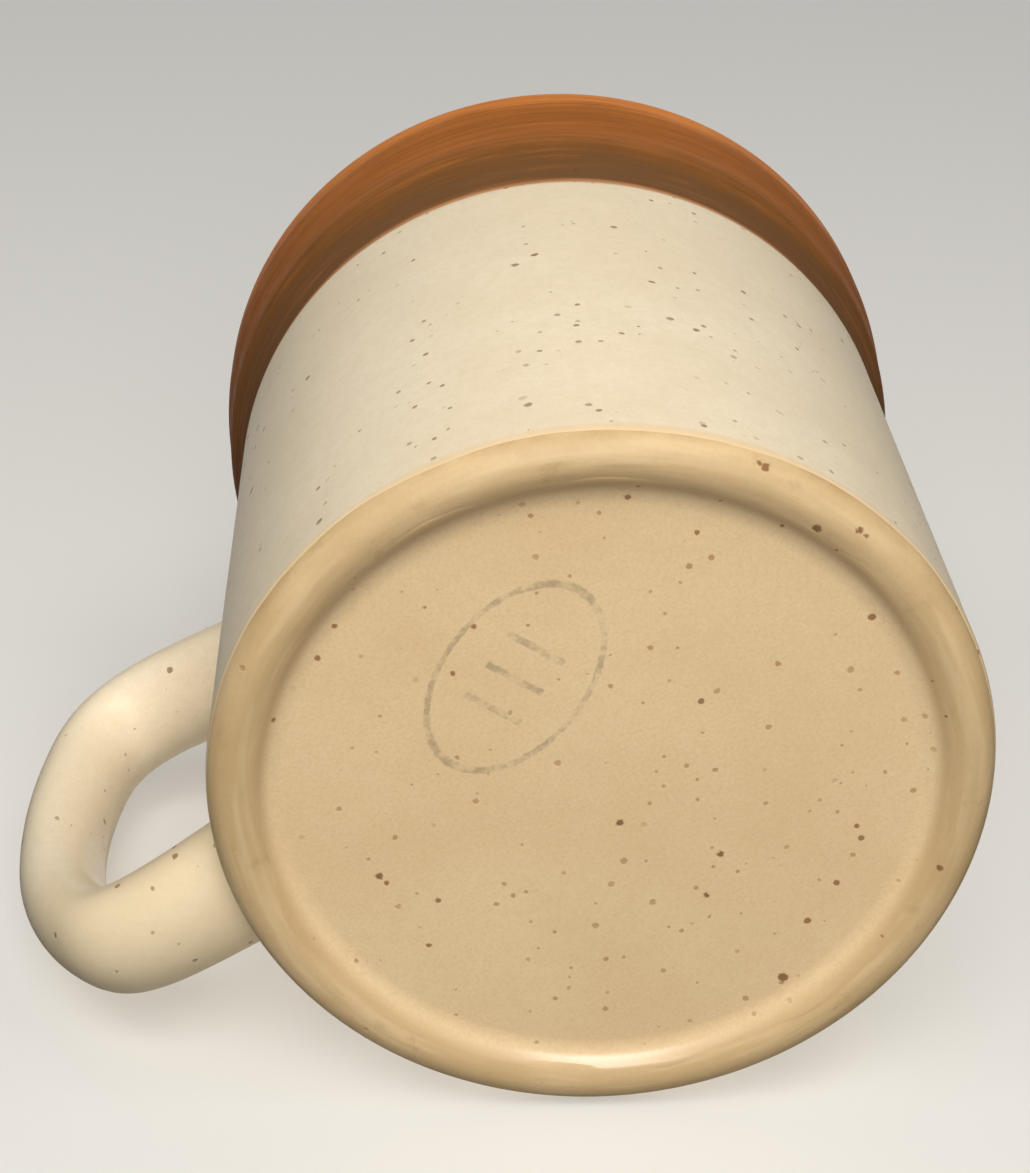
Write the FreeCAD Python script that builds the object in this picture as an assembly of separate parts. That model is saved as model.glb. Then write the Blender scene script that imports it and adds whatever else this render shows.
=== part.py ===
"""A stoneware mug: a turned cup on a bare foot ring, with a luted loop handle and its coats of glaze.

Millimetres, +Z up. The mug stands on the plane Z = 0, with its handle towards +X. The origin is the
centre of the mug's bounding box on that plane. Everything is drawn about the cup's own axis first, and
moved to that origin at the end.
"""
import FreeCAD, Part
import math
import os
from FreeCAD import Vector

# ---- Driving dimensions -------------------------------------------------------------------------

glaze = 0.4                 # thickness of every coat of glaze

# Foot ring, unglazed, and the shallow recess inside it
wall_radius = 40.0          # outside of the straight wall
foot_corner = 3.0           # rounding of the foot's outer corner
foot_inner_radius = 36.2    # inner edge of the flat band that the mug rests on
recess_radius = 32.6        # where the recess becomes flat
recess_depth = 1.8
glaze_line_angle = 70.0     # how far round the foot's corner the bare clay reaches, from straight down

# Wall and flared rim
band_height = 71.0          # where the cream wall ends and the brown rim begins
ridge_height = 82.0         # soft ridge at the top of the flare
ridge_radius = 42.1
lip_radius = 42.9           # widest part of the lip
lip_start_height = 91.0     # where the flare has become upright
lip_thickness = 3.4
mug_height = 96.5

# Inside
inner_radius = 36.0
inner_flare_bottom = 76.5   # the inside opens out from here
inner_flare_top = 92.5
liner_height = 86.0         # the brown glaze runs over the lip down to here
inner_corner = 8.0          # rounding between the wall and the floor inside
floor_height = 6.5          # top of the glazed floor

# Handle: the poles of its centreline, as (distance from the cup's axis, height)
handle_root = 37.5          # the loft begins and ends inside the wall, this far from the axis
handle_poles = [(handle_root, 16.3), (55.5, 10.9), (60.3, 14.6), (68.2, 26.6),
                (68.8, 52.0), (62.6, 66.4), (handle_root, 59.3)]
handle_half_width = (7.7, 6.1, 7.9)       # half the section across the handle: bottom, middle, top
handle_half_thickness = (5.6, 4.4, 4.9)   # half the section in the plane of the loop
handle_sections = 13

# Slip joints, where the handle is luted to the wall
joint_fillet = 4.0          # radius of the concave bead of slip

# Mark stamped under the glaze in the recess: a plain oval ring with three short bars
mark_centre = (2.1, 15.6)   # from the cup's axis
mark_half_length = 12.0
mark_half_width = 7.7
mark_line = 0.8
mark_depth = 0.1
mark_angle = 149.0          # turn of the oval from the handle's direction
mark_bar_spacing = 4.0
mark_bar_length = 6.4


# ---- Outline of the cup -------------------------------------------------------------------------
#
# An outline is a list of corners (radius, height, centre), travelled with the clay on its left. The
# centre belongs to the arc that ends at the corner, and is None where a straight line ends there.

def s_curve(start, end, along):
    """The two equal arcs of a smooth step from start to end, which leave and arrive along an axis."""
    run = end[0] - start[0]
    rise = end[1] - start[1]
    middle = (start[0] + run / 2, start[1] + rise / 2)
    if along == "height":
        radius = (run * run + rise * rise) / (4 * abs(run))
        sign = math.copysign(1, run)
        first = (start[0] + sign * radius, start[1])
        second = (end[0] - sign * radius, end[1])
    else:
        radius = (run * run + rise * rise) / (4 * abs(rise))
        sign = math.copysign(1, rise)
        first = (start[0], start[1] + sign * radius)
        second = (end[0], end[1] - sign * radius)
    return [(*middle, first), (*end, second)]


def on_circle(centre, radius, degrees_from_down):
    angle = math.radians(degrees_from_down)
    return (centre[0] + radius * math.sin(angle), centre[1] - radius * math.cos(angle))


corner_centre = (wall_radius - foot_corner, foot_corner)
glaze_line = on_circle(corner_centre, foot_corner, glaze_line_angle)
lip_centre = (lip_radius - lip_thickness / 2, mug_height - lip_thickness / 2)
lip_inside = lip_radius - lip_thickness
floor_corner_centre = (inner_radius - inner_corner, floor_height + inner_corner)


def liner_split():
    """Radius of the inner flare's surface at the height where the brown glaze ends."""
    run = lip_inside - inner_radius
    rise = inner_flare_top - inner_flare_bottom
    radius = (run * run + rise * rise) / (4 * run)
    drop = inner_flare_top - liner_height
    return lip_inside - radius + math.sqrt(radius * radius - drop * drop)


inner_flare = s_curve((lip_inside, inner_flare_top), (inner_radius, inner_flare_bottom), "height")

base_outline = [(0, recess_depth, None), (recess_radius, recess_depth, None)]
foot_outline = [(recess_radius, recess_depth, None)]
foot_outline += s_curve((recess_radius, recess_depth), (foot_inner_radius, 0), "radius")
foot_outline += [(wall_radius - foot_corner, 0, None), (*glaze_line, corner_centre)]
wall_outline = [(*glaze_line, None), (wall_radius, foot_corner, corner_centre)]
wall_outline += [(wall_radius, band_height, None)]
rim_outline = [(wall_radius, band_height, None)]
rim_outline += s_curve((wall_radius, band_height), (ridge_radius, ridge_height), "height")
rim_outline += s_curve((ridge_radius, ridge_height), (lip_radius, lip_start_height), "height")
rim_outline += [(lip_radius, lip_centre[1], None), (lip_centre[0], mug_height, lip_centre)]
rim_outline += [(lip_inside, lip_centre[1], lip_centre), (lip_inside, inner_flare_top, None)]
rim_outline += [(liner_split(), liner_height, inner_flare[0][2])]
liner_outline = [(liner_split(), liner_height, None), inner_flare[0], inner_flare[1]]
liner_outline += [(inner_radius, floor_corner_centre[1], None)]
liner_outline += [(floor_corner_centre[0], floor_height, floor_corner_centre), (0, floor_height, None)]


def left_normal(start, end, at_end):
    """Unit normal on the clay side of the piece from start to end, at one of its ends."""
    centre = end[2]
    if centre is None:
        length = math.hypot(end[0] - start[0], end[1] - start[1])
        return ((start[1] - end[1]) / length, (end[0] - start[0]) / length)
    turn = (start[0] - centre[0]) * (end[1] - centre[1]) - (start[1] - centre[1]) * (end[0] - centre[0])
    here = end if at_end else start
    radius = math.hypot(here[0] - centre[0], here[1] - centre[1])
    side = -1 if turn > 0 else 1
    return (side * (here[0] - centre[0]) / radius, side * (here[1] - centre[1]) / radius)


def inset(outline, distance):
    """The outline moved into the clay by a distance."""
    moved = []
    for index, corner in enumerate(outline):
        if index == 0:
            normal = left_normal(corner, outline[1], False)
        else:
            normal = left_normal(outline[index - 1], corner, True)
        moved.append((corner[0] + distance * normal[0], corner[1] + distance * normal[1], corner[2]))
    moved[0] = (max(moved[0][0], 0), *moved[0][1:])
    return moved


def edges_of(outline):
    """Edges in the XZ plane along an outline."""
    edges = []
    for start, end in zip(outline, outline[1:]):
        a = Vector(start[0], 0, start[1])
        b = Vector(end[0], 0, end[1])
        if end[2] is None:
            edges.append(Part.LineSegment(a, b).toShape())
            continue
        centre = Vector(end[2][0], 0, end[2][1])
        towards_middle = (a - centre) + (b - centre)
        middle = centre + towards_middle.normalize() * (a - centre).Length
        edges.append(Part.Arc(a, middle, b).toShape())
    return edges


def straight(start, end):
    return Part.LineSegment(Vector(start[0], 0, start[1]), Vector(end[0], 0, end[1])).toShape()


def turned(edges):
    """The solid that a closed outline sweeps round the cup's axis."""
    ordered = Part.sortEdges(edges)[0]
    face = Part.Face(Part.Wire(ordered))
    solid = face.revolve(Vector(0, 0, 0), Vector(0, 0, 1), 360)
    return solid.reversed() if solid.Volume < 0 else solid


def coat(outline):
    """The turned coat of glaze whose outer surface is the outline."""
    inner = inset(outline, glaze)
    edges = edges_of(outline) + edges_of(inner)
    for a, b in ((outline[0], inner[0]), (outline[-1], inner[-1])):
        edges.append(straight(a, b))
    return turned(edges)


def clay_cup():
    """The clay under the glaze, bare at the foot."""
    base = inset(base_outline, glaze)
    wall = inset(wall_outline, glaze)
    rim = inset(rim_outline, glaze)
    liner = inset(liner_outline, glaze)
    edges = edges_of(base) + edges_of(foot_outline) + edges_of(wall) + edges_of(rim) + edges_of(liner)
    edges += [straight(base[-1], foot_outline[0]), straight(foot_outline[-1], wall[0])]
    edges += [straight(liner[-1], base[0])]
    return turned(edges)


def wall_core(skin):
    """The cup as a solid plug, out to the clay's surface, or to the glaze's if skin is 0."""
    outer = inset(wall_outline, skin)
    top = outer[-1]
    bottom = outer[0]
    edges = edges_of(outer)
    edges += [straight((0, bottom[1]), bottom), straight(top, (0, top[1]))]
    edges += [straight((0, top[1]), (0, bottom[1]))]
    return turned(edges)


# ---- Handle -------------------------------------------------------------------------------------

centreline = Part.BSplineCurve()
centreline.buildFromPoles([Vector(distance, 0, height) for distance, height in handle_poles])


def along(values, share):
    """A smooth value between the bottom, the middle and the top of the handle."""
    bottom, middle, top = values
    return (bottom * (1 - share) * (1 - 2 * share) + middle * 4 * share * (1 - share)
            + top * share * (2 * share - 1))


def section(share, growth):
    """An elliptical section of the handle, at a share of its length, grown by a margin."""
    parameter = centreline.parameterAtDistance(share * centreline.length(), centreline.FirstParameter)
    place = centreline.value(parameter)
    direction = Vector(*centreline.tangent(parameter)[0])
    half_width = along(handle_half_width, share) + growth
    half_thickness = along(handle_half_thickness, share) + growth
    across = Vector(0, 1, 0)
    in_plane = direction.cross(across)
    major_end = place + across * half_width
    minor_end = place + in_plane * half_thickness
    ellipse = Part.Ellipse(major_end, minor_end, place)
    return Part.Wire([ellipse.toShape()])


def handle_loft(growth):
    shares = [index / (handle_sections - 1) for index in range(handle_sections)]
    return Part.makeLoft([section(share, growth) for share in shares], True, False)


def is_root_edge(edge):
    """Whether an edge is where the handle's surface meets the wall's."""
    span = edge.BoundBox
    on_wall = span.XMin > handle_root and span.XMax < wall_radius + glaze
    return on_wall and span.YLength > joint_fillet


def joint_beads():
    """The lower and upper beads of slip that round the corner between the handle and the wall."""
    joined = wall_core(0).fuse(handle_loft(0))
    roots = [edge for edge in joined.Edges if is_root_edge(edge)]
    beads = joined.makeFillet(joint_fillet, roots).cut(joined).Solids
    return sorted(beads, key=lambda bead: bead.CenterOfMass.z)


# ---- Mark ---------------------------------------------------------------------------------------

def oval(half_length, half_width):
    ellipse = Part.Ellipse(Vector(0, 0, 0), half_length, half_width)
    return Part.Face(Part.Wire([ellipse.toShape()])).extrude(Vector(0, 0, mark_depth))


def stamped_mark():
    ring = oval(mark_half_length, mark_half_width).cut(
        oval(mark_half_length - mark_line, mark_half_width - mark_line))
    pieces = [ring]
    for index in (-1, 0, 1):
        bar = Part.makeBox(mark_line, mark_bar_length, mark_depth)
        bar.translate(Vector(index * mark_bar_spacing - mark_line / 2, -mark_bar_length / 2, 0))
        pieces.append(bar)
    mark = Part.makeCompound(pieces)
    mark.rotate(Vector(0, 0, 0), Vector(0, 0, 1), mark_angle)
    mark.translate(Vector(*mark_centre, recess_depth))
    return mark


# ---- Assembly -----------------------------------------------------------------------------------

handle_clay = handle_loft(-glaze).cut(wall_core(glaze))
lower_bead, upper_bead = joint_beads()
mark = stamped_mark()

nodes = {
    "cup_clay": clay_cup(),
    "handle_clay": handle_clay,
    "lower_handle_joint": lower_bead,
    "upper_handle_joint": upper_bead,
    "wall_glaze": coat(wall_outline).cut(handle_clay),
    "rim_glaze": coat(rim_outline),
    "liner_glaze": coat(liner_outline),
    "base_glaze": coat(base_outline).cut(mark),
    "handle_glaze": handle_loft(0).cut(wall_core(0)).cut(handle_clay),
    "base_mark": mark,
}

box = Part.makeCompound(list(nodes.values())).optimalBoundingBox()
to_origin = Vector(-box.Center.x, -box.Center.y, 0)

os.makedirs("parts", exist_ok=True)
for name, shape in nodes.items():
    shape.translate(to_origin)
    shape.exportStep("parts/" + name + ".step")
    print(name, "solids", len(shape.Solids), "volume", round(shape.Volume), "valid", shape.isValid())
print("cup axis at x", round(to_origin.x, 3), "box", round(box.XLength, 2), round(box.YLength, 2),
      round(box.ZLength, 2))
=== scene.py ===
"""A speckled stoneware mug with a brown rim, upright in its own frame.

The camera and a pale surface behind the mug are placed so that it looks as it does in the photograph:
lying on its side, seen from under its foot. A pale floor under the foot serves the other views.

Blender's unit is the metre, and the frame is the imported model's. Outlines of the cup are pairs of
(radius, height) in millimetres about the cup's own axis, and become metres where a mesh is made.
"""
import math

import bmesh
import bpy
from mathutils import Matrix, Vector, noise


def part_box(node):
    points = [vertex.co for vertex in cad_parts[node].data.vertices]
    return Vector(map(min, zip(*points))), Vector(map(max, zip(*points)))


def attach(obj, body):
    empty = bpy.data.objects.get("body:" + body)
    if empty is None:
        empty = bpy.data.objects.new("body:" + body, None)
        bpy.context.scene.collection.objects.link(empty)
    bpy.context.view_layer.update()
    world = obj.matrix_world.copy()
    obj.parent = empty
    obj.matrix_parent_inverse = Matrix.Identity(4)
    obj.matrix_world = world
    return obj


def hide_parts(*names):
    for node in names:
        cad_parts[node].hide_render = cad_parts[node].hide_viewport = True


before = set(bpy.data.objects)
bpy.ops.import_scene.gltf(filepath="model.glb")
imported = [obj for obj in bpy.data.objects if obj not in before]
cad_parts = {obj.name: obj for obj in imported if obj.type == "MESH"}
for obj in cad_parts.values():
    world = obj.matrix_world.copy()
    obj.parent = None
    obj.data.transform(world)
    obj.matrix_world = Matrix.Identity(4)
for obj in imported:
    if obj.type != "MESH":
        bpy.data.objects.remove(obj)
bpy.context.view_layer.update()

MM = 0.001

# ---- Sizes --------------------------------------------------------------------------------------

cup_low, cup_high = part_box("cup_clay")
wall_low, wall_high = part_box("wall_glaze")
rim_low, rim_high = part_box("rim_glaze")
base_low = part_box("base_glaze")[0]

cup_axis = Vector(((cup_low[0] + cup_high[0]) / 2, 0, 0))     # foot of the cup's own axis

# Millimetres, read from the frame
wall_radius = (wall_high[1] - wall_low[1]) / 2 / MM
band_height = wall_high[2] / MM
lip_radius = (rim_high[1] - rim_low[1]) / 2 / MM
mug_height = rim_high[2] / MM
recess_depth = base_low[2] / MM

# Millimetres, the design's own
glaze = 0.4
foot_corner = 3.0
recess_corner = 4.0         # concave corner between the recess's floor and its slope
crest_round = 4.0           # the foot ring's rounding towards the recess
base_coat_radius = 34.9     # the base's glaze ends here, on the recess's slope
base_edge_reach = 2.0       # the wander of that edge dies out this far inside it
glaze_line = 70.0           # where the cream coat ends on the foot's corner, degrees from straight down
bare_step = 0.08            # the bare clay lies this far under the wall coat's surface
base_step = 0.02            # and this far under the base coat's
coat_sink = 0.02            # the underside of each coat lies this far inside the clay
shoulder = 1.3              # the cream coat rounds in this far below the brown band
shoulder_drop = 0.35
outer_wall = 38.0           # beyond this radius the cream glaze is on the outside of the wall
ridge_height = 81.5
ridge_radius = 42.1
lip_start_height = 91.0
lip_thickness = 3.4
inner_radius = 36.0
inner_flare_bottom = 76.5
inner_flare_top = 92.5
liner_height = 86.0
inner_corner = 8.0
floor_height = 6.5
handle_root = 37.5
handle_poles = [(handle_root, 16.3), (55.5, 10.9), (60.3, 14.6), (68.2, 26.6),
                (68.8, 52.0), (62.6, 66.4), (handle_root, 59.3)]
handle_half_width = (7.7, 6.1, 7.9)
handle_half_thickness = (5.6, 4.4, 4.9)
joint_fillet = 4.0
joint_sink = 0.03           # the joint's skin lies this far under the wall coat's surface
joint_root = 0.38           # and its buried edge this far
mark_half_length = 12.0
mark_half_width = 7.7
mark_line = 0.8
mark_angle = 149.0          # degrees
mark_bar_spacing = 4.0
mark_bar_length = 6.4

turns = 288                 # segments round the cup
around_handle = 56          # segments round the handle
along_handle = 90           # segments along it between the joints
handle_steps = 160          # rings that it is first worked out with
across_joint = 12           # segments across a joint
sharp_edge = 60             # degrees


# ---- Camera -------------------------------------------------------------------------------------

def make_camera():
    """Looks up at the standing mug's foot, at the angle at which the photograph shows the lying mug's."""
    camera = bpy.data.objects.new("camera", bpy.data.cameras.new("camera"))
    bpy.context.collection.objects.link(camera)
    bpy.context.scene.camera = camera
    aim = cup_axis + Vector((-0.92, 20.8, 9.81)) * MM
    distance = 250 * MM
    heading, rise, roll = (math.radians(angle) for angle in (-67.46, 61.4, 4.8))
    ahead = Vector((math.cos(rise) * math.cos(heading), math.cos(rise) * math.sin(heading),
                    math.sin(rise)))
    level = ahead.cross(Vector((0, 0, 1))).normalized()
    up = level.cross(ahead) * math.cos(roll) + level * math.sin(roll)
    place = Matrix((ahead.cross(up), up, -ahead)).transposed().to_4x4()
    place.translation = aim - ahead * distance
    camera.matrix_world = place
    camera.data.lens = 76.73
    camera.data.sensor_width = 36
    camera.data.clip_start = 0.01
    camera.data.clip_end = 20


# ---- Outlines -----------------------------------------------------------------------------------

corner_centre = (wall_radius - foot_corner, foot_corner)


def ramp(value, low, high):
    """0 up to low, 1 from high, and straight between them."""
    return min(max((value - low) / (high - low), 0), 1)


def line(start, end, step):
    """Points after start, up to end."""
    count = max(1, round(math.dist(start, end) / step))
    return [(start[0] + (end[0] - start[0]) * i / count, start[1] + (end[1] - start[1]) * i / count)
            for i in range(1, count + 1)]


def arc(centre, radius, first, last, step):
    """Points of an arc after its first, between two angles in degrees from +radius towards +height."""
    count = max(2, round(abs(math.radians(last - first)) * radius / step))
    angles = [math.radians(first + (last - first) * i / count) for i in range(1, count + 1)]
    return [(centre[0] + radius * math.cos(a), centre[1] + radius * math.sin(a)) for a in angles]


def s_curve(start, end, step):
    """Points after start of a smooth step that leaves and arrives along the height."""
    count = max(4, round(math.dist(start, end) / step))
    points = []
    for i in range(1, count + 1):
        share = i / count
        ease = share * share * (3 - 2 * share)
        points.append((start[0] + (end[0] - start[0]) * ease, start[1] + (end[1] - start[1]) * share))
    return points


def inset(points, distance):
    """The open outline moved to its left, where the clay is."""
    moved = []
    for i, (radius, height) in enumerate(points):
        before = points[max(i - 1, 0)]
        after = points[min(i + 1, len(points) - 1)]
        length = math.dist(before, after)
        run, rise = (after[0] - before[0]) / length, (after[1] - before[1]) / length
        moved.append((max(radius - distance * rise, 0), height + distance * run))
    return moved


def recess_outline():
    """From the centre of the recess out to the crest of the foot ring."""
    rounds = recess_corner + crest_round
    slope = math.acos(1 - recess_depth / rounds)        # where the two roundings meet
    start = corner_centre[0] - rounds * math.sin(slope)
    turn = math.degrees(slope)
    points = [(0, recess_depth)] + line((0, recess_depth), (start, recess_depth), 1.5)
    points += arc((start, recess_depth - recess_corner), recess_corner, 90, 90 - turn, 0.16)
    points += arc((corner_centre[0], crest_round), crest_round, 270 - turn, 270, 0.16)
    return points


line_height = foot_corner * (1 - math.cos(math.radians(glaze_line)))
recess = recess_outline()
base_edge = recess.index(min(recess, key=lambda point: abs(point[0] - base_coat_radius)))


def wall_outline():
    """The cream coat's outer surface, from the bead at its lower edge up to the brown band."""
    # Degrees past the glaze line, and depth under the coat's full surface
    bead = [(-3.0, 0.40), (-1.5, 0.20), (0.0, 0.12), (2.0, 0.07), (5.0, 0.03), (8.0, 0.01)]
    points = []
    for turn, under in bead:
        angle = math.radians(glaze_line - 90 + turn)
        radius = foot_corner - under
        points.append((corner_centre[0] + radius * math.cos(angle),
                       corner_centre[1] + radius * math.sin(angle)))
    points += arc(corner_centre, foot_corner, glaze_line - 82, 0, 0.2)
    points += line(points[-1], (wall_radius, band_height - shoulder), 2.0)
    for i in range(1, 9):
        angle = math.pi / 2 * i / 8
        points.append((wall_radius - shoulder_drop * (1 - math.cos(angle)),
                       band_height - shoulder + shoulder * math.sin(angle)))
    return points


def rim_outline():
    """The brown coat's outer surface, up the flare, over the lip and down inside."""
    lip_centre = (lip_radius - lip_thickness / 2, mug_height - lip_thickness / 2)
    lip_inside = lip_radius - lip_thickness
    points = [(wall_radius - shoulder_drop, band_height - 0.15)]
    points += s_curve(points[-1], (ridge_radius, ridge_height), 0.6)
    points += s_curve(points[-1], (lip_radius, lip_start_height), 0.6)
    points += line(points[-1], (lip_radius, lip_centre[1]), 0.6)
    points += arc(lip_centre, lip_thickness / 2, 0, 180, 0.35)
    points += line(points[-1], (lip_inside, inner_flare_top), 0.6)
    return points


inner_flare = s_curve((lip_radius - lip_thickness, inner_flare_top),
                      (inner_radius, inner_flare_bottom), 0.6)
rim = rim_outline() + [point for point in inner_flare if point[1] >= liner_height]


def liner_outline():
    """The liner's surface, from under the brown coat down to the middle of the cup's floor."""
    points = [rim[-1]] + [point for point in inner_flare if point[1] < liner_height]
    points += line(points[-1], (inner_radius, floor_height + inner_corner), 3.0)
    points += arc((inner_radius - inner_corner, floor_height + inner_corner), inner_corner, 0, -90, 0.8)
    points += line(points[-1], (0, floor_height), 3.0)
    return points


# ---- Meshes -------------------------------------------------------------------------------------

def add_piece(name, vertices, faces, material, slot, *nodes):
    """A smooth mesh that stands for CAD nodes and rides with the mug."""
    mesh = bpy.data.meshes.new(name)
    mesh.from_pydata(vertices, [], faces)
    loose = bmesh.new()
    loose.from_mesh(mesh)
    bmesh.ops.recalc_face_normals(loose, faces=loose.faces)
    loose.to_mesh(mesh)
    loose.free()
    mesh.polygons.foreach_set("use_smooth", [True] * len(mesh.polygons))
    mesh.set_sharp_from_angle(angle=math.radians(sharp_edge))
    mesh.materials.append(material)
    piece = bpy.data.objects.new(name, mesh)
    bpy.context.collection.objects.link(piece)
    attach(piece, "root")
    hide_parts(*nodes)


def lathe(outline, closed, unevenness):
    """Vertices and faces of an outline swept round the cup's axis, where a point on it is one vertex.

    A closed outline goes on from its last point to its first.
    """
    vertices = []
    rows = []
    for radius, height in outline:
        if radius < 1e-6:
            rows.append([len(vertices)] * turns)
            vertices.append(cup_axis + Vector((0, 0, height)) * MM)
            continue
        rows.append(range(len(vertices), len(vertices) + turns))
        for i in range(turns):
            angle = 2 * math.pi * i / turns
            out, up = unevenness(radius, height, angle)
            reach = radius + out
            here = Vector((reach * math.cos(angle), reach * math.sin(angle), height + up))
            vertices.append(cup_axis + here * MM)
    pairs = list(zip(rows, rows[1:]))
    if closed:
        pairs.append((rows[-1], rows[0]))
    faces = []
    for low, high in pairs:
        for i in range(turns):
            j = (i + 1) % turns
            face = []
            for vertex in (low[i], low[j], high[j], high[i]):
                if vertex not in face:
                    face.append(vertex)
            if len(face) > 2:
                faces.append(face)
    return vertices, faces


def round_noise(angle, height, size, seed):
    """Smooth noise from -1 to 1 over the cup's wall, with features of about a size in millimetres."""
    place = Vector((math.cos(angle) * wall_radius, math.sin(angle) * wall_radius, height))
    return noise.noise(place / size + Vector((seed, seed, seed)))


def throwing(radius, height, angle):
    """The slight unevenness of a turned and glazed wall."""
    out = 0.05 * round_noise(angle, height, 22, 3.1) + 0.02 * round_noise(angle, height * 3, 12, 8.4)
    return out, 0


def edge_wave(angle):
    """How far the cream coat's lower edge wanders, in millimetres along the surface."""
    return 0.30 * round_noise(angle, 0, 9, 1.7) + 0.16 * round_noise(angle, 0, 3, 5.2)


def wall_unevenness(radius, height, angle):
    """The wall's own unevenness, and the wander of the cream coat's lower edge round the foot's corner."""
    out, up = throwing(radius, height, angle)
    if height < foot_corner:
        turn = edge_wave(angle) / foot_corner * ramp(height, foot_corner, line_height)
        run, rise = radius - corner_centre[0], height - corner_centre[1]
        out += run * math.cos(turn) - rise * math.sin(turn) - run
        up += run * math.sin(turn) + rise * math.cos(turn) - rise
    return out, up


def base_outline():
    """The base coat's outer surface, with a rounded edge that dips to the clay."""
    points = recess[:base_edge]
    under = [0.0, 0.004, 0.012, 0.024, 0.045, 0.09, 0.2, 0.42]
    edge = recess[base_edge - 1:base_edge + 1 + len(under)]
    for i, depth in enumerate(under):
        points.append(inset(edge[i:i + 3], depth)[1])
    return points


def base_unevenness(radius, height, angle):
    """The base coat's edge wanders along the slope, and its middle is only a little uneven."""
    share = ramp(radius, base_coat_radius - base_edge_reach, base_coat_radius)
    out = 0.22 * share * round_noise(angle, 0, 7, 9.3)
    fall = 0.9 * share      # the slope of the recess there
    lift = 0.03 * noise.noise(Vector((radius * math.cos(angle), radius * math.sin(angle), 4.0)) / 16)
    return out, lift - out * fall


def foot_outline():
    """The bare clay of the foot, from under the base coat to under the wall's coat."""
    points = []
    slope = recess[base_edge - 3:]
    for low, high in zip(inset(slope, base_step), slope):
        share = ramp(high[0], base_coat_radius + 0.6, base_coat_radius + 1.4)
        points.append((low[0] + (high[0] - low[0]) * share, low[1] + (high[1] - low[1]) * share))
    steps = 30
    for i in range(1, steps + 1):
        turn = 90 * i / steps
        under = bare_step * ramp(turn, 35, 57)          # steps down where the wall's coat will begin
        under += (glaze - bare_step) * ramp(turn, glaze_line + 10, glaze_line + 16)     # and goes under it
        angle = math.radians(turn - 90)
        points.append((corner_centre[0] + (foot_corner - under) * math.cos(angle),
                       corner_centre[1] + (foot_corner - under) * math.sin(angle)))
    return points


def clay_outline():
    """The whole clay cup, from the middle of its underside to the middle of its floor."""
    points = inset(recess[:base_edge - 3], glaze) + foot_outline()
    wall = line((wall_radius, foot_corner), (wall_radius, band_height - 2), 3.0)
    points += inset(wall, glaze)
    points += inset(rim[1:], glaze)
    points += inset(liner_outline()[1:], glaze)
    return points


def clay_unevenness(radius, height, angle):
    """The wall's own unevenness on the outside, and a fainter one under the foot."""
    if height > foot_corner:
        return throwing(radius, height, angle) if radius > lip_radius - lip_thickness - 1 else (0, 0)
    if radius < corner_centre[0]:
        return 0, 0.03 * noise.noise(Vector((radius * math.cos(angle), radius * math.sin(angle), 0)) / 5)
    return 0, 0


def coat(name, outline, material, slot, unevenness, *nodes):
    """A turned coat of glaze under the outline, sunk a hair into the clay."""
    under = inset(outline, glaze + coat_sink)
    vertices, faces = lathe(outline + under[::-1], True, unevenness)
    add_piece(name, vertices, faces, material, slot, *nodes)


# ---- Handle -------------------------------------------------------------------------------------

def handle_centre(share):
    """A point (distance from the axis, height) of the clamped cubic spline, by de Boor's rule."""
    knots = [0, 0, 0, 0, 0.25, 0.5, 0.75, 1, 1, 1, 1]
    span = min(int(share * 4), 3) + 3
    points = [Vector(handle_poles[i]) for i in range(span - 3, span + 1)]
    for level in range(1, 4):
        for i in range(3, level - 1, -1):
            low = knots[i + span - 3]
            high = knots[i + 1 + span - level]
            points[i] = points[i - 1].lerp(points[i], (share - low) / (high - low))
    return points[3]


def even_shares(count):
    """Spline parameters at even distances along the handle."""
    fine = 600
    centres = [handle_centre(i / fine) for i in range(fine + 1)]
    lengths = [0.0]
    for a, b in zip(centres, centres[1:]):
        lengths.append(lengths[-1] + (b - a).length)
    shares = []
    i = 0
    for k in range(count + 1):
        wanted = lengths[-1] * k / count
        while i < fine - 1 and lengths[i + 1] < wanted:
            i += 1
        shares.append((i + (wanted - lengths[i]) / (lengths[i + 1] - lengths[i])) / fine)
    return shares


def between(values, share):
    """A smooth value between the bottom, the middle and the top of the handle."""
    bottom, middle, top = values
    return (bottom * (1 - share) * (1 - 2 * share) + middle * 4 * share * (1 - share)
            + top * share * (2 * share - 1))


def handle_rows(count):
    """Rings of (points, outward directions) along the handle, in millimetres from the cup's axis."""
    rings = []
    shares = even_shares(count)
    for k, share in enumerate(shares):
        here = handle_centre(share)
        ahead = handle_centre(min(share + 1e-3, 1)) - handle_centre(max(share - 1e-3, 0))
        ahead.normalize()
        across = Vector((0, 1, 0))
        in_plane = Vector((-ahead[1], 0, ahead[0]))
        half_width = between(handle_half_width, k / count)
        half_thickness = between(handle_half_thickness, k / count)
        ring = []
        for i in range(around_handle):
            angle = 2 * math.pi * i / around_handle
            right, up = math.cos(angle), math.sin(angle)
            out = across * (right / half_width) + in_plane * (up / half_thickness)
            out.normalize()
            point = Vector((here[0], 0, here[1]))
            point += across * (right * half_width) + in_plane * (up * half_thickness)
            point += out * 0.10 * noise.noise(point / 13 + Vector((0, 0, 7.7)))
            ring.append((point, out))
        rings.append(ring)
    return rings


def on_wall(point, under):
    """The point moved onto the cup's wall, a little under its surface."""
    angle = math.atan2(point.y, point.x)
    radius = wall_radius + throwing(wall_radius, point.z, angle)[0] - under
    return Vector((radius * math.cos(angle), radius * math.sin(angle), point.z))


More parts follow.
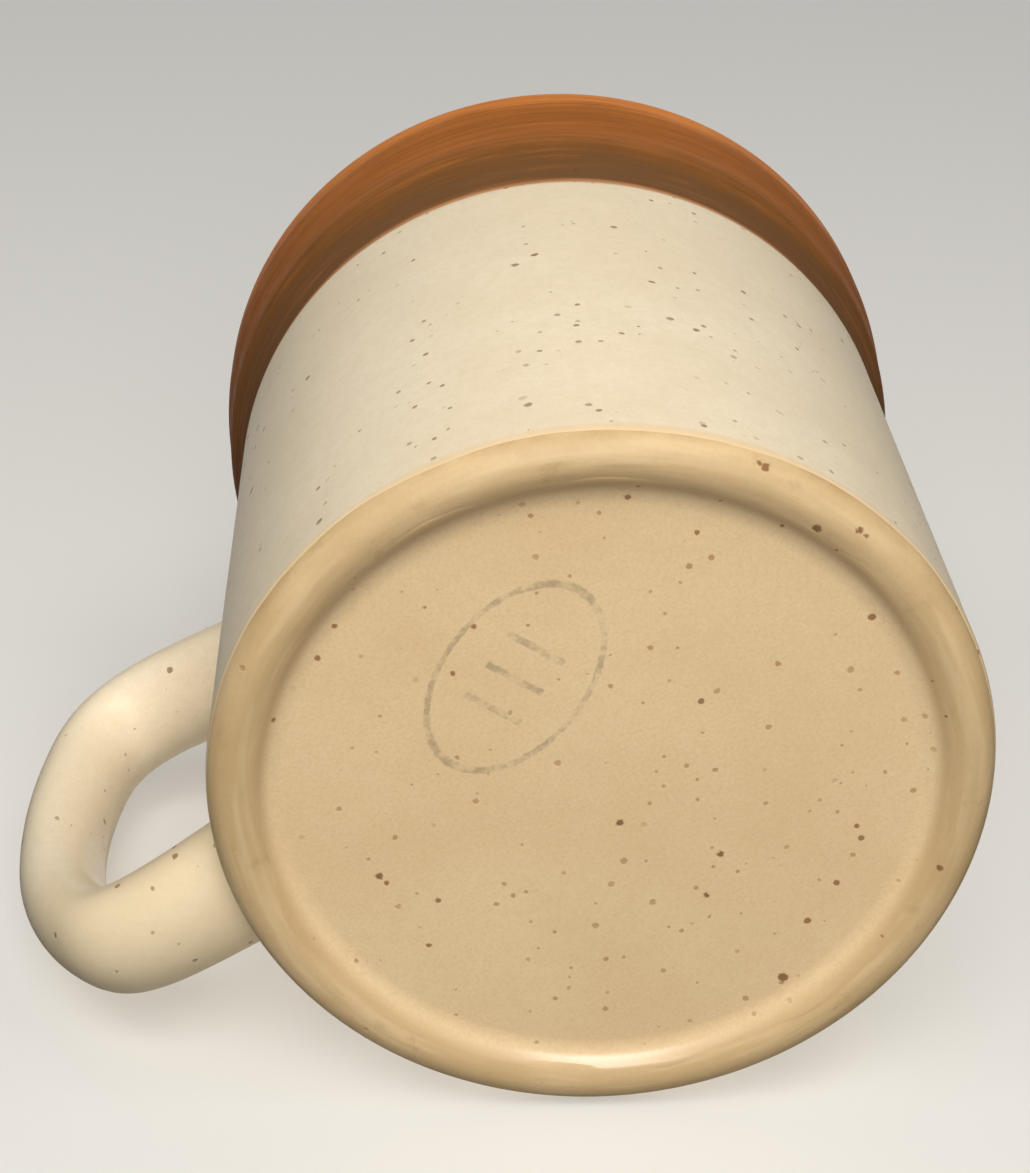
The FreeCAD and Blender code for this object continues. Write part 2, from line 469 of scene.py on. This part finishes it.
def follow(line_points, start, distance):
    """The place on a line of points at a distance past a place on it, as a fractional index."""
    place = start
    left = distance
    while left > 0 and place < len(line_points) - 1:
        whole = int(place)
        step = (line_points[whole + 1][0] - line_points[whole][0]).length
        room = (whole + 1 - place) * step
        if room >= left:
            return place + left / step
        left -= room
        place = whole + 1
    return place


def at(line_points, place):
    """The point and the outward direction at a fractional index of a line of them."""
    whole = min(int(place), len(line_points) - 2)
    share = place - whole
    near, far = line_points[whole], line_points[whole + 1]
    return near[0].lerp(far[0], share), near[1].lerp(far[1], share).normalized()


def root_of(line_points):
    """Where a line of points along the handle comes out of the wall, as a fractional index."""
    for i in range(len(line_points) - 1):
        before = math.hypot(line_points[i][0].x, line_points[i][0].y) - wall_radius
        after = math.hypot(line_points[i + 1][0].x, line_points[i + 1][0].y) - wall_radius
        if before < 0 <= after:
            return i + before / (before - after)
    return 0.0


def root_fillet(line_points, root):
    """Points from deep in the wall out along a smooth curve onto the handle, and where it arrives."""
    crossing, out = at(line_points, root)
    away = Vector((crossing.x, crossing.y, 0)).normalized()
    sideways = (out - away * out.dot(away)).normalized()
    arrival = follow(line_points, root, joint_fillet)
    tube = at(line_points, arrival)[0]
    wall = on_wall(crossing + sideways * joint_fillet, joint_sink)
    corner = on_wall(crossing, joint_sink)
    points = [on_wall(wall + sideways * 0.3, joint_root)]
    for i in range(across_joint + 1):
        share = i / across_joint
        points.append(wall * (1 - share) ** 2 + corner * 2 * share * (1 - share) + tube * share ** 2)
    return points, arrival


def handle_mesh():
    """Vertices and faces of the handle with both joints, closed by a cap inside the wall at each end."""
    rings = handle_rows(handle_steps)
    columns = []
    for i in range(around_handle):
        up = [ring[i] for ring in rings]
        down = up[::-1]
        low, low_end = root_fillet(up, root_of(up))
        high, high_end = root_fillet(down, root_of(down))
        last = len(up) - 1 - high_end
        run = [at(up, low_end + (last - low_end) * k / along_handle)[0] for k in range(1, along_handle)]
        columns.append(low + run + high[::-1])
    rows = len(columns[0])
    vertices = [cup_axis + column[k] * MM for k in range(rows) for column in columns]
    faces = []
    for k in range(rows - 1):
        for i in range(around_handle):
            j = (i + 1) % around_handle
            faces.append([k * around_handle + i, k * around_handle + j,
                          (k + 1) * around_handle + j, (k + 1) * around_handle + i])
    for first in (0, (rows - 1) * around_handle):
        ring = vertices[first:first + around_handle]
        centre = sum(ring, Vector()) / around_handle
        vertices.append(centre)
        for i in range(around_handle):
            faces.append([first + i, first + (i + 1) % around_handle, len(vertices) - 1])
    return vertices, faces


# ---- Materials ----------------------------------------------------------------------------------

def colour(red, green, blue):
    """A linear colour from the usual 0 to 255 values."""
    linear = []
    for value in (red, green, blue):
        value /= 255
        linear.append(value / 12.92 if value <= 0.04045 else ((value + 0.055) / 1.055) ** 2.4)
    return (*linear, 1)


class Finish:
    """A material being put together. Sizes are in millimetres, and places are the mug's own."""

    def __init__(self, name, **sockets):
        self.material = bpy.data.materials.new(name)
        self.material.use_nodes = True
        self.tree = self.material.node_tree
        self.shader = self.tree.nodes["Principled BSDF"]
        for socket, value in sockets.items():
            self.shader.inputs[socket.replace("_", " ")].default_value = value
        self.place = self.add("ShaderNodeTexCoord").outputs["Object"]
        self.relief = None

    def add(self, kind, inputs=None, **settings):
        """A new node. Each input is a value, or a socket to link from."""
        made = self.tree.nodes.new(kind)
        for key, value in settings.items():
            setattr(made, key, value)
        for key, value in (inputs or {}).items():
            if isinstance(value, bpy.types.NodeSocket):
                self.tree.links.new(value, made.inputs[key])
            else:
                made.inputs[key].default_value = value
        return made

    def math(self, operation, a, b=0.0):
        """Arithmetic on numbers or sockets."""
        return self.add("ShaderNodeMath", {0: a, 1: b}, operation=operation).outputs[0]

    def vector(self, operation, a, b, second=1):
        """Vector arithmetic. The second operand goes into socket 1, or "Scale" where it is a factor."""
        return self.add("ShaderNodeVectorMath", {0: a, second: b}, operation=operation).outputs["Vector"]

    def remap(self, value, low, high, to_low=0.0, to_high=1.0):
        """A smooth step from one range to another."""
        return self.add("ShaderNodeMapRange", {"Value": value, "From Min": low, "From Max": high,
                                               "To Min": to_low, "To Max": to_high},
                        interpolation_type="SMOOTHSTEP").outputs["Result"]

    def mix(self, share, under, over):
        """A colour that goes from one to another as the share goes from 0 to 1."""
        return self.add("ShaderNodeMix", {0: share, 6: under, 7: over}, data_type="RGBA").outputs[2]

    def noise(self, size, detail=3.0, roughness=0.55, stretch=(1, 1, 1), shift=0.0, colours=False):
        """Noise whose features are about a size in millimetres, before the stretch."""
        where = self.add("ShaderNodeMapping", {"Vector": self.place, "Location": (shift * MM,) * 3,
                                               "Scale": tuple(1 / value for value in stretch)})
        made = self.add("ShaderNodeTexNoise", {
            "Vector": where.outputs["Vector"], "Scale": 1 / (size * MM), "Detail": detail,
            "Roughness": roughness})
        return made.outputs["Color" if colours else "Fac"]

    def height(self):
        """Millimetres above the foot."""
        parts = self.add("ShaderNodeSeparateXYZ", {"Vector": self.place})
        return self.math("MULTIPLY", parts.outputs["Z"], 1 / MM)

    def off_axis(self):
        """The vector from the cup's axis, level with the point, in metres."""
        return self.vector("MULTIPLY", self.vector("ADD", self.place, tuple(-cup_axis)), (1, 1, 0))

    def reach(self):
        """Metres from the cup's axis."""
        return self.add("ShaderNodeVectorMath", {0: self.off_axis()}, operation="LENGTH").outputs["Value"]

    def ragged(self, place, amount, size, detail, roughness, shift):
        """The place nudged by noise, which roughens the edge of what is drawn there."""
        nudge = self.noise(size, detail, roughness, shift=shift, colours=True)
        nudge = self.vector("SUBTRACT", nudge, (0.5, 0.5, 0.5))
        return self.vector("ADD", place, self.vector("SCALE", nudge, amount, "Scale"))

    def specks(self, cell, present, small, large, shift):
        """Round specks scattered through space: a mask of them, and how dark each one is.

        The space is cut into cells, and about the present share of them hold one speck each.
        """
        moved = self.ragged(self.place, 0.30 * MM, 0.45, 2.0, 0.6, shift)
        moved = self.vector("ADD", moved, (shift * MM,) * 3)
        cells = self.add("ShaderNodeTexVoronoi", {"Vector": moved, "Scale": 1 / (cell * MM)})
        chance = self.add("ShaderNodeSeparateColor", {"Color": cells.outputs["Color"]})
        crowd = self.remap(self.noise(17, 1.0, shift=shift), 0.35, 0.65, -0.6 * present, 0.6 * present)
        there = self.math("LESS_THAN", chance.outputs["Red"], self.math("ADD", crowd, present))
        squared = self.math("MULTIPLY", chance.outputs["Green"], chance.outputs["Green"])
        radius = self.math("MULTIPLY", squared, (large - small) / cell)
        radius = self.math("ADD", radius, small / cell)
        depth = self.math("SUBTRACT", radius, cells.outputs["Distance"])
        mask = self.math("MULTIPLY", self.remap(depth, -0.02, 0.08 / cell), there)
        return mask, chance.outputs["Blue"]

    def spots(self, base, places, shade):
        """The base colour with iron spots in it, at places (x, y, z, radius) from the cup's foot."""
        moved = self.ragged(self.place, 0.7 * MM, 0.5, 2.0, 0.6, 7.0)
        for x, y, z, radius in places:
            centre = tuple(cup_axis + Vector((x, y, z)) * MM)
            away = self.add("ShaderNodeVectorMath", {0: moved, 1: centre}, operation="DISTANCE")
            away = away.outputs["Value"]
            mask = self.remap(away, (radius + 0.10) * MM, (radius - 0.14) * MM, 0.0, 0.85)
            base = self.mix(mask, base, shade)
        return base

    def rings(self, width, turn):
        """Noise drawn out into fine lines round the cup's axis, a width apart, that fade over a turn."""
        across = self.math("MULTIPLY", self.reach(), 1 / (width * MM))
        across = self.add("ShaderNodeCombineXYZ", {"Z": across}).outputs["Vector"]
        along = self.vector("SCALE", self.off_axis(), 1 / (turn * MM), "Scale")
        where = self.vector("ADD", across, along)
        return self.add("ShaderNodeTexNoise", {"Vector": where, "Scale": 1.0, "Detail": 2.0,
                                               "Roughness": 0.5}).outputs["Fac"]

    def add_specks(self, base, layers, pale, dark):
        """The base colour with layers of specks in it, each from pale to dark and some faint."""
        pits = None
        for layer in layers:
            mask, tone = self.specks(*layer)
            shade = self.mix(tone, pale, dark)
            strength = self.remap(tone, 0.0, 0.8, 0.30, 0.80)
            base = self.mix(self.math("MULTIPLY", mask, strength), base, shade)
            pits = mask if pits is None else self.math("MAXIMUM", pits, mask)
        return base, pits

    def bump(self, value, depth):
        """Adds relief of a depth in millimetres where the value goes from 0 to 1."""
        made = self.add("ShaderNodeBump", {"Height": value, "Distance": depth * MM, "Strength": 1.0})
        if self.relief is not None:
            self.tree.links.new(self.relief, made.inputs["Normal"])
        self.relief = made.outputs["Normal"]

    def done(self, base, roughness):
        """The material, with its colour, roughness and relief joined to the shader."""
        self.tree.links.new(base, self.shader.inputs["Base Color"])
        self.tree.links.new(roughness, self.shader.inputs["Roughness"])
        self.tree.links.new(self.relief, self.shader.inputs["Normal"])
        return self.material


# Layers of specks: cell size, share of cells with a speck, smallest and largest radius (mm), shift
wall_specks = [(1.9, 0.38, 0.16, 0.38, 11.0), (3.6, 0.34, 0.30, 0.52, 37.0)]
handle_specks = [(2.0, 0.42, 0.20, 0.42, 23.0), (3.8, 0.44, 0.30, 0.50, 51.0)]
base_specks = [(2.0, 0.60, 0.20, 0.40, 71.0), (3.8, 0.42, 0.28, 0.44, 93.0)]
foot_specks = [(3.4, 0.12, 0.15, 0.38, 65.0)]

# The largest single iron spots: x, y and height from the cup's foot, and radius
wall_spots = [(-13.5, 37.6, 47.5, 0.42), (-24.2, 31.8, 40.0, 0.36), (-27.1, 29.5, 28.6, 0.40)]
foot_spots = [(-31.0, 17.7, 0.2, 0.48), (-34.6, 15.7, 0.2, 0.36), (-34.9, 14.8, 0.2, 0.24),
              (-29.4, 25.7, 0.8, 0.44), (-29.0, 26.3, 0.9, 0.30), (-26.6, -24.2, 0.1, 0.36)]
base_spots = [(-6.5, -30.5, 1.8, 0.56), (0.3, -4.6, 1.8, 0.42), (-7.2, -13.0, 1.8, 0.40),
              (-3.7, -17.0, 1.8, 0.34), (24.9, 1.2, 1.8, 0.40), (-28.2, 19.1, 1.2, 0.34)]


def cream_glaze(name, layers, gloss, low_shade):
    """Satin cream glaze with an orange-peel skin, over iron specks from the clay.

    Gloss is the weight of a clear coat, and the last argument is how far the colour turns darker and more
    tan near the foot: painted shade and painted bounce light.
    """
    finish = Finish(name, Specular_IOR_Level=0.4, Coat_Weight=gloss, Coat_Roughness=0.2)
    clouds = finish.remap(finish.noise(26, 3.0), 0.3, 0.7)
    base = finish.mix(clouds, colour(236, 219, 189), colour(243, 228, 200))
    mottle = finish.remap(finish.noise(1.6, 3.0, 0.65), 0.35, 0.7, 0.0, 0.35)
    base = finish.mix(mottle, base, colour(228, 210, 178))
    # Painted shade: a grey line just under the brown band, on the outside of the wall, where the coat
    # rounds in under the flare.
    edge = finish.remap(finish.height(), band_height - 1.3, band_height - 0.1, 0.0, 0.55)
    outside = finish.math("GREATER_THAN", finish.reach(), outer_wall * MM)
    base = finish.mix(finish.math("MULTIPLY", edge, outside), base, colour(190, 172, 142))
    thin = finish.remap(finish.height(), line_height + 1.4, line_height - 0.1, 0.0, 0.9)
    base = finish.mix(thin, base, colour(212, 183, 138))
    # Painted shade and bounce light: darker and more tan below 30 mm, fully so under 13 mm.
    painted_low_shade = finish.remap(finish.height(), 30.0, 13.0, 0.0, low_shade)
    base = finish.mix(painted_low_shade, base, colour(218, 196, 155))
    grain = finish.remap(finish.noise(0.4, 3.0, 0.7, shift=19), 0.35, 0.7, 0.0, 0.20)
    base = finish.mix(grain, base, colour(212, 192, 158))
    base, pits = finish.add_specks(base, layers, colour(184, 160, 126), colour(134, 98, 66))
    base = finish.spots(base, wall_spots, colour(128, 88, 54))
    finish.bump(finish.noise(9, 2.0), 0.10)
    finish.bump(finish.noise(0.9, 2.0, 0.5), 0.018)
    finish.bump(finish.math("SUBTRACT", 1.0, pits), 0.03)
    rough = finish.remap(finish.noise(5, 4.0), 0.3, 0.7, 0.46, 0.56)
    return finish.done(base, finish.math("ADD", rough, finish.math("MULTIPLY", pits, 0.15)))


def brown_glaze():
    """Matt iron-brown glaze, streaked round the rim, its colour up the flare painted with shade in the
    cove and light on the ridge and the lip.
    """
    finish = Finish("brown_glaze", Specular_IOR_Level=0.06)
    span = mug_height - band_height
    # Millimetres above the cream coat's top, and the colour there: a thin orange line at the cream's edge,
    # then painted shade in the cove and the groove, painted light on the ridge and a painted highlight on
    # the lip.
    orange_line_and_painted_light = [(0.0, (206, 150, 106)), (0.7, (196, 138, 94)), (1.3, (112, 80, 52)), (4.5, (106, 74, 45)),
             (7.5, (120, 79, 41)), (10.0, (152, 95, 48)), (12.0, (166, 102, 52)), (15.0, (154, 93, 44)),
             (19.0, (168, 101, 46)), (21.5, (212, 130, 62)), (25.5, (222, 138, 66))]
    wander = finish.remap(finish.noise(14, 2.0), 0.2, 0.8, -1.1, 1.1)
    streaks = finish.noise(3.2, 4.0, 0.6, stretch=(9, 9, 0.34))
    place = finish.math("SUBTRACT", finish.height(), band_height)
    away = finish.remap(place, 0.6, 4.0)
    shake = finish.math("ADD", wander, finish.remap(streaks, 0.2, 0.8, -1.2, 1.2))
    place = finish.math("ADD", place, finish.math("MULTIPLY", shake, away))
    banded = finish.add("ShaderNodeValToRGB", {"Fac": finish.math("DIVIDE", place, span)})
    stops = banded.color_ramp.elements
    while len(stops) < len(orange_line_and_painted_light):
        stops.new(0.5)
    for stop, (height, shade) in zip(stops, orange_line_and_painted_light):
        stop.position = height / span
        stop.color = colour(*shade)
    fine = finish.remap(finish.noise(1.3, 4.0, 0.7, stretch=(12, 12, 0.5), shift=5), 0.3, 0.75, 0.0, 0.42)
    base = finish.mix(fine, banded.outputs["Color"], colour(104, 66, 38))
    bloom = finish.remap(finish.noise(3.0, 4.0, 0.7, stretch=(7, 7, 0.4), shift=31), 0.5, 0.8, 0.0, 0.4)
    base = finish.mix(bloom, base, colour(190, 116, 54))
    base, pits = finish.add_specks(base, foot_specks, colour(92, 58, 34), colour(52, 32, 20))
    finish.bump(finish.noise(1.5, 3.0, stretch=(8, 8, 0.6), shift=3), 0.05)
    finish.bump(finish.noise(0.35, 3.0, 0.6), 0.02)
    finish.bump(finish.math("SUBTRACT", 1.0, pits), 0.04)
    return finish.done(base, finish.remap(finish.noise(3, 4.0), 0.3, 0.7, 0.50, 0.66))


def bare_clay():
    """Fine tan clay wiped smooth in rings, with a little iron, and a painted shade on the foot ring's
    slope down into the recess.
    """
    finish = Finish("bare_clay", Specular_IOR_Level=0.42)
    clouds = finish.remap(finish.noise(14, 4.0), 0.3, 0.7)
    base = finish.mix(clouds, colour(194, 165, 119), colour(205, 176, 132))
    reach = finish.reach()
    # Painted shade, darkest where the foot ring's slope meets the base glaze.
    inner = finish.remap(reach, (base_coat_radius + 2.6) * MM, base_coat_radius * MM, 0.0, 0.35)
    base = finish.mix(inner, base, colour(190, 158, 112))
    grain = finish.remap(finish.noise(0.5, 4.0, 0.7), 0.4, 0.75, 0.0, 0.30)
    base = finish.mix(grain, base, colour(184, 154, 110))
    wiped = finish.rings(1.1, 12)
    base = finish.mix(finish.remap(wiped, 0.4, 0.7, 0.0, 0.32), base, colour(228, 202, 158))
    rub = finish.remap(finish.noise(4, 5.0, 0.7, shift=17), 0.58, 0.72, 0.0, 0.35)
    base = finish.mix(rub, base, colour(168, 138, 100))
    outside = finish.math("GREATER_THAN", reach, corner_centre[0] * MM)
    climb = finish.math("MULTIPLY", finish.height(), outside)
    broken = finish.remap(finish.noise(6, 4.0, 0.6, shift=29), 0.45, 0.65, 0.0, 0.30)
    rust = finish.math("MULTIPLY", finish.remap(climb, 0.9, line_height), broken)
    base = finish.mix(rust, base, colour(166, 126, 80))
    base, pits = finish.add_specks(base, foot_specks, colour(150, 104, 66), colour(104, 66, 40))
    base = finish.spots(base, foot_spots, colour(118, 76, 38))
    finish.bump(finish.noise(0.4, 4.0, 0.7), 0.02)
    finish.bump(wiped, 0.03)
    finish.bump(finish.math("SUBTRACT", 1.0, pits), 0.05)
    return finish.done(base, finish.remap(finish.noise(2, 4.0), 0.3, 0.7, 0.46, 0.62))


def base_glaze():
    """Warm satin glaze in the recess, with redder specks and a worn generic mark under it."""
    finish = Finish("base_glaze", Specular_IOR_Level=0.6, Coat_Weight=0.7, Coat_Roughness=0.2)
    clouds = finish.remap(finish.noise(22, 3.0), 0.3, 0.7)
    base = finish.mix(clouds, colour(231, 201, 155), colour(238, 210, 165))
    mottle = finish.remap(finish.noise(1.4, 3.0, 0.65), 0.35, 0.7, 0.0, 0.25)
    base = finish.mix(mottle, base, colour(226, 194, 146))
    reach = finish.reach()
    thin = finish.remap(reach, (base_coat_radius - 1.6) * MM, base_coat_radius * MM)
    base = finish.mix(thin, base, colour(202, 171, 125))
    base = finish.mix(finish.math("MULTIPLY", mark_mask(finish), 0.5), base, colour(122, 112, 92))
    grain = finish.remap(finish.noise(0.4, 3.0, 0.7, shift=19), 0.35, 0.7, 0.0, 0.22)
    base = finish.mix(grain, base, colour(190, 158, 112))
    base, pits = finish.add_specks(base, base_specks, colour(176, 124, 70), colour(136, 80, 36))
    base = finish.spots(base, base_spots, colour(128, 74, 38))
    finish.bump(finish.noise(9, 2.0), 0.08)
    finish.bump(finish.noise(0.8, 2.0, 0.5), 0.014)
    finish.bump(finish.math("SUBTRACT", 1.0, pits), 0.02)
    rough = finish.remap(finish.noise(5, 4.0), 0.3, 0.7, 0.26, 0.34)
    dull = finish.math("MAXIMUM", finish.math("MULTIPLY", thin, 0.2), finish.math("MULTIPLY", pits, 0.15))
    return finish.done(base, finish.math("ADD", rough, dull))


def mark_mask(finish):
    """A blotchy stamped oval ring with three bars, where the CAD's mark is."""
    low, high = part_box("base_mark")
    middle = (low + high) / 2
    mapped = finish.add("ShaderNodeMapping", {
        "Vector": finish.place, "Location": (middle.x, middle.y, 0),
        "Rotation": (0, 0, math.radians(mark_angle)), "Scale": (MM, MM, MM)}, vector_type="TEXTURE")
    moved = finish.ragged(mapped.outputs[0], 0.5, 0.7, 3.0, 0.7, 83)
    parts = finish.add("ShaderNodeSeparateXYZ", {"Vector": moved})
    x, y = parts.outputs["X"], parts.outputs["Y"]
    across = finish.math("DIVIDE", x, mark_half_length - mark_line / 2)
    down = finish.math("DIVIDE", y, mark_half_width - mark_line / 2)
    reach = finish.math("SQRT", finish.math("ADD", finish.math("MULTIPLY", across, across),
                                            finish.math("MULTIPLY", down, down)))
    off_ring = finish.math("MULTIPLY", finish.math("ABSOLUTE", finish.math("SUBTRACT", reach, 1.0)),
                           (mark_half_length + mark_half_width) / 2)
    ink_edge = (mark_line * 0.62, mark_line * 0.32)
    ink = finish.remap(off_ring, *ink_edge)
    bar_end = mark_bar_length / 2
    within = finish.remap(finish.math("ABSOLUTE", y), bar_end + 0.15, bar_end - 0.15)
    for index in (-1, 0, 1):
        off_bar = finish.math("ABSOLUTE", finish.math("SUBTRACT", x, index * mark_bar_spacing))
        bar = finish.math("MULTIPLY", finish.remap(off_bar, *ink_edge), within)
        ink = finish.math("MAXIMUM", ink, bar)
    worn = finish.remap(finish.noise(2.2, 4.0, 0.75, shift=41), 0.38, 0.62, 0.12, 1.0)
    return finish.math("MULTIPLY", ink, worn)


# ---- Stage and light ----------------------------------------------------------------------------

table_normal = Vector((-0.4695, 0.8829, 0))     # from the surface that the mug lies on, towards the mug


def add_stage(name, centre, facing, half_size):
    """A pale plane that is seen only from its front, and neither shades the mug nor lights it."""
    material = bpy.data.materials.new(name)
    material.use_nodes = True
    nodes, links = material.node_tree.nodes, material.node_tree.links
    shader = nodes["Principled BSDF"]
    shader.inputs["Base Color"].default_value = colour(184, 182, 178)
    shader.inputs["Emission Color"].default_value = colour(222, 220, 216)
    shader.inputs["Emission Strength"].default_value = 0.4      # keeps the shadows on it pale
    shader.inputs["Roughness"].default_value = 0.85
    shader.inputs["Specular IOR Level"].default_value = 0.2
    behind = nodes.new("ShaderNodeNewGeometry")
    clear = nodes.new("ShaderNodeBsdfTransparent")
    choose = nodes.new("ShaderNodeMixShader")
    links.new(behind.outputs["Backfacing"], choose.inputs[0])
    links.new(shader.outputs[0], choose.inputs[1])
    links.new(clear.outputs[0], choose.inputs[2])
    links.new(choose.outputs[0], nodes["Material Output"].inputs["Surface"])
    mesh = bpy.data.meshes.new(name)
    turn = facing.to_track_quat("Z", "Y")
    corners = [(-1, -1), (1, -1), (1, 1), (-1, 1)]
    corners = [centre + turn @ Vector((x, y, 0)) * half_size for x, y in corners]
    mesh.from_pydata(corners, [], [(0, 1, 2, 3)])
    mesh.materials.append(material)
    plane = bpy.data.objects.new(name, mesh)
    bpy.context.collection.objects.link(plane)
    plane.visible_diffuse = False
    plane.visible_glossy = False
    plane.visible_transmission = False
    plane.visible_shadow = False


stage_half_size = 3.0

# Name, direction from the mug, distance, size, power, colour, and whether reflections show it. A light at
# a glancing angle would draw a white line round the mug, so three are left out of reflections. "left" and
# "right" are small enough to stay under the floor, which would show a line where one crossed it.
lights = [
    ("key", (-0.31, 0.76, -0.57), 0.8, 0.45, 4.3, (1, 0.975, 0.93), True),
    ("left", (0.14, 0.96, -0.23), 0.8, 0.25, 0.75, (1, 0.975, 0.93), False),
    ("right", (-0.78, 0.58, -0.23), 0.8, 0.25, 1.1, (1, 0.975, 0.93), False),
    ("glint", (-0.24, 0.36, -0.90), 0.8, 0.30, 2.8, (1, 0.975, 0.94), True),
    ("top", (0.08, -0.2, 1), 1.2, 1.0, 3.8, (1, 0.98, 0.96), True),
    ("side", (0.30, -0.80, 0.50), 1.3, 0.8, 17, (1, 0.98, 0.95), False)]


def add_light(name, direction, distance, size, power, shade, reflected):
    """A square soft light that faces the middle of the mug."""
    lamp = bpy.data.lights.new(name, "AREA")
    lamp.shape = "SQUARE"
    lamp.size = size
    lamp.energy = power
    lamp.color = shade
    light = bpy.data.objects.new(name, lamp)
    direction = Vector(direction).normalized()
    light.location = cup_axis + Vector((0, 0, mug_height / 2 * MM)) + direction * distance
    light.rotation_mode = "QUATERNION"
    light.rotation_quaternion = direction.to_track_quat("Z", "Y")
    light.visible_camera = False
    light.visible_glossy = reflected
    bpy.context.collection.objects.link(light)


def add_surfaces():
    """The surface that the mug lies on in the photograph, and the floor for when it stands."""
    foot_height, rest_height = 3.0, lip_start_height + 3
    lean = (lip_radius - wall_radius) / (rest_height - foot_height)
    facing = (table_normal + Vector((0, 0, lean))).normalized()
    touch = cup_axis - table_normal * (wall_radius + 0.2) * MM + Vector((0, 0, foot_height * MM))
    add_stage("table", touch, facing, stage_half_size)
    add_stage("ground", Vector((0, 0, 0)), Vector((0, 0, 1)), stage_half_size)


def add_sky():
    """Weak even light, which the camera sees as a plain pale backdrop."""
    world = bpy.data.worlds.new("studio")
    bpy.context.scene.world = world
    world.use_nodes = True
    nodes, links = world.node_tree.nodes, world.node_tree.links
    sky = nodes["Background"]
    sky.inputs["Color"].default_value = (0.93, 0.96, 1.0, 1)
    sky.inputs["Strength"].default_value = 0.09
    backdrop = nodes.new("ShaderNodeBackground")
    backdrop.inputs["Color"].default_value = colour(186, 185, 182)
    seen = nodes.new("ShaderNodeLightPath")
    choose = nodes.new("ShaderNodeMixShader")
    links.new(seen.outputs["Is Camera Ray"], choose.inputs[0])
    links.new(sky.outputs[0], choose.inputs[1])
    links.new(backdrop.outputs[0], choose.inputs[2])
    links.new(choose.outputs[0], nodes["World Output"].inputs["Surface"])


# ---- The mug ------------------------------------------------------------------------------------

make_camera()
vertices, faces = lathe(clay_outline(), False, clay_unevenness)
add_piece("cup_body", vertices, faces, bare_clay(), "bare_clay", "cup_clay")
cream = cream_glaze("cream_glaze", wall_specks, 0.0, 0.0)
coat("wall_coat", wall_outline(), cream, "cream_glaze", wall_unevenness, "wall_glaze")
coat("rim_coat", rim, brown_glaze(), "brown_glaze", throwing, "rim_glaze")
coat("liner_coat", liner_outline(), cream, "cream_glaze", throwing, "liner_glaze")
coat("base_coat", base_outline(), base_glaze(), "base_glaze", base_unevenness, "base_glaze", "base_mark")
vertices, faces = handle_mesh()
# The last argument gives the handle's lower part its painted shade and bounce light.
handle_cream = cream_glaze("handle_glaze", handle_specks, 0.15, 0.65)
add_piece("handle_coat", vertices, faces, handle_cream, "cream_glaze",
          "handle_glaze", "handle_clay", "lower_handle_joint", "upper_handle_joint")
add_surfaces()
add_sky()
for light in lights:
    add_light(*light)
bpy.context.scene.view_settings.view_transform = "Standard"
